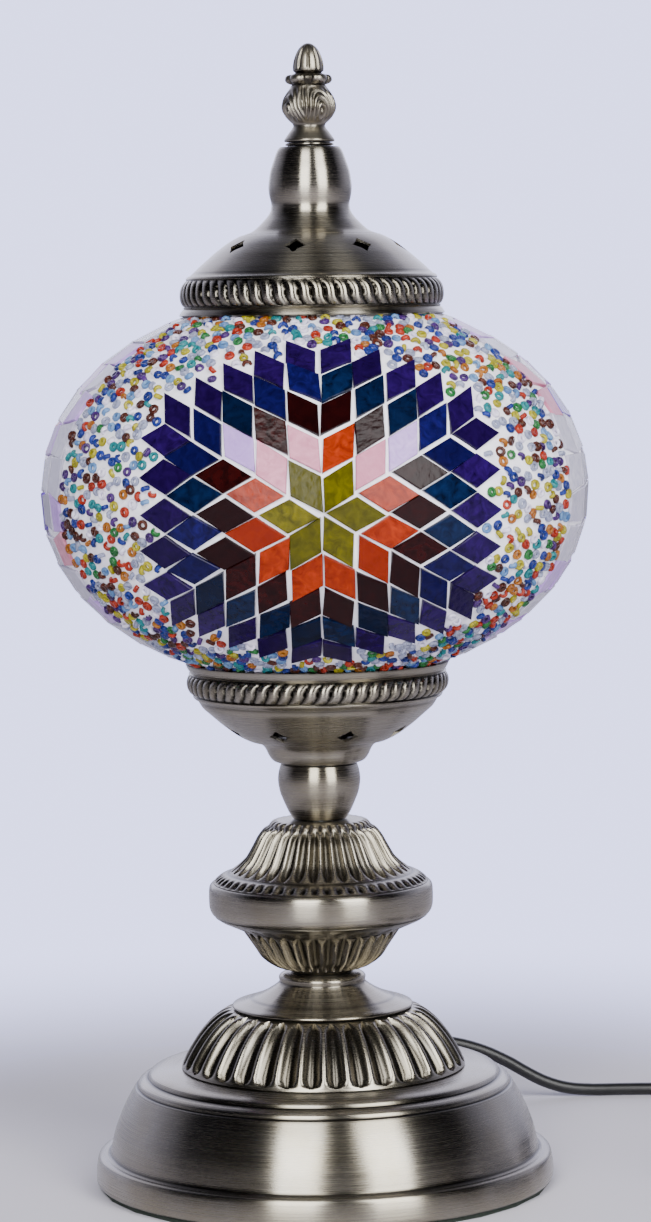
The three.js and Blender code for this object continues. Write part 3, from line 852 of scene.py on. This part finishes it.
def lay(name, colour):
    """Makes one piece of all the tiles of a colour, each a little lighter or darker."""
    verts, faces, shades = [], [], []
    for rings in tiles[colour]:
        start, n, shade = len(verts), len(rings[0]), random.random() * 0.85
        verts += [p * MM for ring in rings for p in ring]
        shades += [shade] * (3 * n)
        faces.append([start + i for i in range(n)])
        for ring in (0, 1):
            for i in range(n):
                a, b = start + ring * n + i, start + ring * n + (i + 1) % n
                faces.append([a, a + n, b + n, b])
        faces.append([start + 2 * n + i for i in reversed(range(n))])
    piece = new_piece(name, verts, [], faces)
    shade = piece.data.attributes.new("tile_shade", "FLOAT", "POINT")
    for item, value in zip(shade.data, shades):
        item.value = value
    opened(piece)
    bpy.ops.mesh.normals_make_consistent(inside=False)
    bpy.ops.object.mode_set(mode="OBJECT")
    finished(piece, TILE_GLASS[colour], "globe", "mosaic", angle=20)


print("a tile's side, mm", TILE_SIDE)

# %% [markdown]
# Two medallions, at the front and the back, have five rings of tiles in six sectors. Hand-laid
# tiles shift, turn and vary, so each gets a small random share of all three.

# %% Two medallions
RINGS = ["olive", "orange", "maroon", "teal", "indigo"]
SECTORS = 6
BLUE_SHARE = 0.4  # of the teal ring's tiles
SHIFT, TWIST = 0.5, 3.5  # millimetres and degrees
MEDALLIONS = [math.radians(1.5), math.pi]
MEDALLION_V = -3.4
# Painted glare: five tiles above the middle are pale pink and lavender in place of their ring's
# colour, standing in for the lights' reflection on the glass. Each is (sector, i, j).
PAINTED_GLARE_TILES = {(0, 1, 0): "pink", (0, 2, 0): "lavender", (1, 1, 0): "pink", (1, 0, 1): "pink",
              (1, 0, 2): "lavender"}


def direction(k):
    angle = math.radians(30 + 360 / SECTORS * k)
    return Vector((math.cos(angle), math.sin(angle)))


for centre in MEDALLIONS:
    for sector in range(SECTORS):
        e, f = direction(sector), direction(sector + 1)
        for i in range(len(RINGS)):
            for j in range(len(RINGS) - i):
                ring = RINGS[i + j]
                if ring == "teal" and random.random() < BLUE_SHARE:
                    ring = "blue"
                # Painted glare: these tiles take a pale colour in place of their ring's colour.
                ring = PAINTED_GLARE_TILES.get((sector, i, j), ring)
                middle = (e * (i + 0.5) + f * (j + 0.5)) * TILE_PITCH
                middle += Vector((random.uniform(-SHIFT, SHIFT), random.uniform(-SHIFT, SHIFT)))
                turned = Matrix.Rotation(math.radians(random.uniform(-TWIST, TWIST)), 2)
                size = 0.5 * TILE_SIDE * random.uniform(0.96, 1.02)
                corners = [middle + turned @ (e * a * size + f * b * size)
                           for a, b in ((-1, -1), (1, -1), (1, 1), (-1, 1))]
                tile(ring, [(c.x, c.y + MEDALLION_V) for c in corners], centre)
print("medallion tiles", sum(len(found) for found in tiles.values()))

# %% [markdown]
# On both sides, between the medallions, a broad upright panel is laid in pale broken glass: clear,
# lavender, pink and a little violet, in slips of about 15 mm that don't line up.

# %% Two side panels
PANEL_HALF, SLIP = math.radians(24), 13.6
SLIP_GAP = 0.5  # each slip keeps half a millimetre from its cut lines
panel_top = ARC[ARC_STEPS - 1] * 0.86


def waved(u, v, row):
    """A cut line between two rows of slips: it rises and falls a little along the row."""
    return v + 1.5 * math.sin(0.31 * u + 2.1 * row) + 0.7 * math.sin(0.83 * u + row)


for centre in (math.pi / 2, -math.pi / 2):
    v, row = -panel_top * 0.97, 0
    while v < panel_top:
        width = 2 * PANEL_HALF * section(at_arc(v + SLIP / 2))[0]
        count = max(2, round(width / (SLIP * random.uniform(0.9, 1.25))))
        step = width / count
        cuts = [[-width / 2 + step * column
                 + (random.uniform(-2.6, 2.6) if 0 < column < count else 0)
                 for column in range(count + 1)] for _ in range(2)]
        for column in range(count):
            (low_left, low_right), (top_left, top_right) = [
                (line[column] + SLIP_GAP, line[column + 1] - SLIP_GAP) for line in cuts]
            corners = [(low_left, waved(low_left, v, row) + SLIP_GAP),
                       (low_right, waved(low_right, v, row) + SLIP_GAP),
                       (top_right, waved(top_right, v + SLIP, row + 1) - SLIP_GAP),
                       (top_left, waved(top_left, v + SLIP, row + 1) - SLIP_GAP)]
            hue = random.choices(["pale", "lavender", "pink", "violet"], [8, 3, 1.3, 0.6])[0]
            tile(hue, corners, centre)
        v += SLIP
        row += 1
for colour in TILE_GLASS:
    lay("tiles_" + colour, colour)
print("tiles", {name: len(found) for name, found in tiles.items()})

# %% [markdown]
# Everything else on the glass is covered with glass seed beads, sprinkled on while the filler is
# wet, so they lie mostly flat and some stand on edge. They come in eleven colours. One bead is a
# small torus, and every bead is a copy of it.

# %% Seed beads
BEAD_COLOURS = {  # deep, light, and how common each is
    "clear": (0x9298B4, 0xC4CAE2, 17), "white": (0xB8B2CC, 0xE4E0F0, 8),
    "cobalt": (0x101E5C, 0x2A409C, 13), "light_blue": (0x4A72A8, 0x7FA8D4, 8),
    "turquoise": (0x106A72, 0x2E9498, 5), "green": (0x165A28, 0x2E8040, 5),
    "yellow": (0x8C8414, 0xC4BC30, 10), "amber": (0x8A4A12, 0xBC7A2A, 6),
    "red": (0x841C10, 0xBC3C22, 12), "brown": (0x34160E, 0x5E2A1A, 10),
    "purple": (0x2A1248, 0x56307E, 10),
}
BEAD_MAJOR, BEAD_MINOR, BEAD_TALL, BEAD_GAP = 1.24, 0.6, 1.45, 3.25
BEAD_DARTS = 100000  # places tried
BEADED_RADIUS = 46.6  # where the galleries' edges cover the filler
BEAD_INSET = 0.75
TILE_MARGIN = 0.15  # how far the beads keep from the tiles, as a share of the pitch
random.seed(21)
deselected()
bpy.ops.mesh.primitive_torus_add(major_segments=9, minor_segments=6, major_radius=BEAD_MAJOR,
                                 minor_radius=BEAD_MINOR)
pattern_bead = bpy.context.active_object
bead_verts = [v.co * Vector((1, 1, BEAD_TALL)) for v in pattern_bead.data.vertices]
bead_faces = [list(f.vertices) for f in pattern_bead.data.polygons]
bpy.data.objects.remove(pattern_bead)


def azimuth_gap(azimuth, centre):
    return (azimuth - centre + math.pi) % (2 * math.pi) - math.pi


def in_medallion(azimuth, v):
    for centre in MEDALLIONS:
        gap = azimuth_gap(azimuth, centre)
        if abs(gap) > 1.2:
            continue
        place = Vector((gap * section(at_arc(v))[0], v - MEDALLION_V))
        for k in range(SECTORS):
            e, f = direction(k), direction(k + 1)
            cross = e.x * f.y - e.y * f.x
            a = (place.x * f.y - place.y * f.x) / cross / TILE_PITCH
            b = (e.x * place.y - e.y * place.x) / cross / TILE_PITCH
            ring = sum(math.floor(max(0, c - TILE_MARGIN)) for c in (a, b))
            if min(a, b) > -TILE_MARGIN and ring < len(RINGS):
                return True
    return False


def in_panel(azimuth, v):
    gap = min(abs(azimuth_gap(azimuth, c)) for c in (math.pi / 2, -math.pi / 2))
    return gap < PANEL_HALF + 0.015 and -panel_top < v < panel_top + 14


lowest, highest = [
    next(ARC[side * i] for i in range(1, ARC_STEPS)
         if section(side * i * ARC_STEP)[0] < BEADED_RADIUS) for side in (-1, 1)]
grid, beads = {}, []
for attempt in range(BEAD_DARTS):
    v = random.uniform(lowest, highest)
    azimuth = random.uniform(-math.pi, math.pi)
    if random.random() > section(at_arc(v))[0] / GLOBE_RADIUS:
        continue
    if in_medallion(azimuth, v) or in_panel(azimuth, v):
        continue
    point, normal = on_globe(azimuth, v, BEAD_INSET)
    cell = tuple(int(c // BEAD_GAP) for c in point)
    near = [q for dx in (-1, 0, 1) for dy in (-1, 0, 1) for dz in (-1, 0, 1)
            for q in grid.get((cell[0] + dx, cell[1] + dy, cell[2] + dz), ())]
    if any((point - q).length < BEAD_GAP for q in near):
        continue
    grid.setdefault(cell, []).append(point)
    beads.append((point, normal))
print("beads", len(beads))

weights = [c[2] for c in BEAD_COLOURS.values()]
bead_sets = {name: ([], []) for name in BEAD_COLOURS}
for point, normal in beads:
    colour = random.choices(list(BEAD_COLOURS), weights)[0]
    on_edge = random.random() < 0.25
    lean = math.radians(random.uniform(70, 90) if on_edge else abs(random.gauss(0, 16)))
    facing = normal.to_track_quat("Z", "Y").to_matrix()
    turned = Matrix.Rotation(random.uniform(0, 6.283), 3, "Z") @ Matrix.Rotation(lean, 3, "X")
    size = random.uniform(0.98, 1.16)
    verts, faces = bead_sets[colour]
    start = len(verts)
    shift = normal * (-0.35 if on_edge else 0)
    verts += [(facing @ turned @ (corner * size) + point + shift) * MM for corner in bead_verts]
    faces += [[start + i for i in face] for face in bead_faces]
for name, (deep, light, _) in BEAD_COLOURS.items():
    verts, faces = bead_sets[name]
    piece = new_piece("beads_" + name, verts, [], faces)
    see_through = {"clear": 0.6, "white": 0.05}.get(name, 0.4)
    glass = stained_glass(name + "_bead_glass", deep, light, 0.06, see_through)
    finished(piece, glass, "globe", "mosaic", angle=180)

# %% [markdown]
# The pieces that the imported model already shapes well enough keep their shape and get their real
# finish: zinc-plated steel, a cast iron weight with its sandy skin, green-black felt, frosted
# bulb glass, bright screw-shell brass, brown bakelite and black rubber and plastic.

# %% Finishes of the kept pieces
def plated_steel():
    material, tree, shader = new_material("zinc_plated_steel", Metallic=1.0, Roughness=0.3)
    place = node(tree, "TexCoord").outputs["Object"]
    flakes = node(tree, "TexVoronoi", {"Vector": place}, Scale=700).outputs["Distance"]
    tinted(tree, shader, flakes, [(0.1, 0x9A9C9E), (0.8, 0xC4C6C8)])
    bumped(tree, shader, flakes, 0.02)
    return material


def bright_screw_brass():
    material, tree, shader = new_material("bright_screw_brass", Metallic=1.0, Roughness=0.25)
    turning = noise(tree, 900, 3)
    tinted(tree, shader, turning, [(0.3, 0xB58B3D), (0.7, 0xDDB766)])
    bumped(tree, shader, turning, 0.03)
    return material


def rough_skin(name, dark, light, roughness, scale, depth_mm):
    material, tree, shader = new_material(name, Roughness=roughness)
    skin = noise(tree, scale, 6, Roughness=0.7)
    tinted(tree, shader, skin, [(0.3, dark), (0.7, light)])
    bumped(tree, shader, skin, depth_mm)
    return material


steel = plated_steel()
screw_brass = bright_screw_brass()
iron = rough_skin("cast_iron_skin", 0x1A1918, 0x3B3835, 0.8, 420, 0.3)
felt = rough_skin("black_green_felt", 0x0C120D, 0x243026, 0.95, 1500, 0.4)
frosted = clear_glass("frosted_bulb_glass", [(0.3, 0xE9E4D8), (0.7, 0xF6F2E9)], 0.55)

KEPT = {
    steel: ["bottom_nut", "bottom_washer", "centre_tube", "cup_nut", "harp", "bulb_contact",
            "bulb_cap", "plug_pin_left", "plug_pin_right"],
    screw_brass: ["socket_shell", "socket_contact"],
    iron: ["base_weight"], felt: ["base_pad"], frosted: ["bulb_glass"],
    bakelite: ["socket_base", "socket_body"],
    rubber: ["cup_gasket", "cap_gasket", "strain_relief"],
    moulded: ["switch_lower", "switch_upper", "switch_rocker", "plug_body"],
}
for material, names in KEPT.items():
    for name in names:
        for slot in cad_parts[name].material_slots:
            slot.material = material
print("kept", sum(len(names) for names in KEPT.values()))

# %% [markdown]
# The lead is one cord: it starts at the strain relief's end, and the switch and the two-pin
# plug are on it.

# %% [markdown]
# The lamp stands on a plain pale floor, in front of a pale lavender wall, with two tall soft
# lights at the front on the left and right. The world is dim for the metal's reflections, so that
# the brass keeps its dark bands, and pale for the view behind the lamp.

# %% Floor, lights and surroundings
WALL, WALL_GLOW = 0xCACEFF, 3.1
FLOOR_SIZE = 24
HAZE_START, HAZE_END = 0.2, 0.55  # metres from the lamp
deselected()
bpy.ops.mesh.primitive_plane_add(size=FLOOR_SIZE, location=(0, 0, 0))
floor = bpy.context.active_object
floor.name = "floor"
floor_paint, tree, shader = new_material("pale_floor_paint", Roughness=0.8)
place = node(tree, "TexCoord").outputs["Object"]
mottle = node(tree, "TexNoise", {"Vector": place}, Scale=3)
tinted(tree, shader, mottle.outputs["Fac"], [(0.3, 0xC9C5CE), (0.7, 0xD2CFD8)])
# Far from the lamp the floor fades into the wall's brightness, so no edge shows.
reach = node(tree, "VectorMath", {"Vector": place}, operation="LENGTH")
fade = node(tree, "MapRange", {"Value": reach.outputs["Value"]},
            interpolation_type="SMOOTHSTEP", From_Min=HAZE_START, From_Max=HAZE_END)
sight = node(tree, "LightPath")
share = node(tree, "Math", {0: fade.outputs["Result"], 1: sight.outputs["Is Camera Ray"]},
             operation="MULTIPLY")
haze = node(tree, "Emission", Color=linear(WALL), Strength=WALL_GLOW)
both = node(tree, "MixShader", {0: share.outputs["Value"], 1: shader.outputs["BSDF"],
                                2: haze.outputs["Emission"]})
tree.links.new(both.outputs["Shader"], tree.nodes["Material Output"].inputs["Surface"])
floor.data.materials.append(floor_paint)


def softbox(name, azimuth, distance, width, height, centre, watts, colour=0xFFFFFF):
    """A rectangular light that faces the lamp from an azimuth, in degrees from the front."""
    lamp = bpy.data.lights.new(name, "AREA")
    lamp.shape = "RECTANGLE"
    lamp.size, lamp.size_y, lamp.energy = width, height, watts
    lamp.color = linear(colour)[:3]
    holder = bpy.data.objects.new(name, lamp)
    bpy.context.collection.objects.link(holder)
    angle = math.radians(azimuth)
    holder.location = (distance * math.sin(angle), -distance * math.cos(angle), centre)
    aim = Vector((0, 0, 0.24)) - holder.location
    holder.rotation_euler = aim.to_track_quat("-Z", "Y").to_euler()
    print(name, watts, "W")


softbox("left_light", -15, 2.2, 1.0, 2.2, 1.2, 84)
softbox("right_light", 35.5, 2.2, 1.0, 2.2, 1.2, 84)
softbox("back_light", 180, 2.4, 3.0, 1.8, 1.3, 24, 0xE6E6FF)

world = bpy.data.worlds.new("room")
bpy.context.scene.world = world
world.use_nodes = True
tree = world.node_tree
seen = tree.nodes["Background"]
seen.inputs["Color"].default_value = linear(WALL)
seen.inputs["Strength"].default_value = WALL_GLOW
# Around the lamp the room is dark in front and overhead, and a pale wall at the sides and behind.
wall = node(tree, "VectorMath",
            {0: node(tree, "TexCoord").outputs["Generated"], 1: (0, 1, -0.55)},
            operation="DOT_PRODUCT")
behind = node(tree, "MapRange", {"Value": wall.outputs["Value"]}, From_Min=-0.25, From_Max=0.45)
room = ramp(tree, behind.outputs["Result"], [(0.0, 0x0B0B0E), (1.0, 0xCBCDEA)])
around = node(tree, "Background", {"Color": room}, Strength=1.35)
sight = node(tree, "LightPath")
both = node(tree, "MixShader", {0: sight.outputs["Is Camera Ray"],
                                1: around.outputs["Background"],
                                2: seen.outputs["Background"]})
tree.links.new(both.outputs["Shader"], tree.nodes["World Output"].inputs["Surface"])
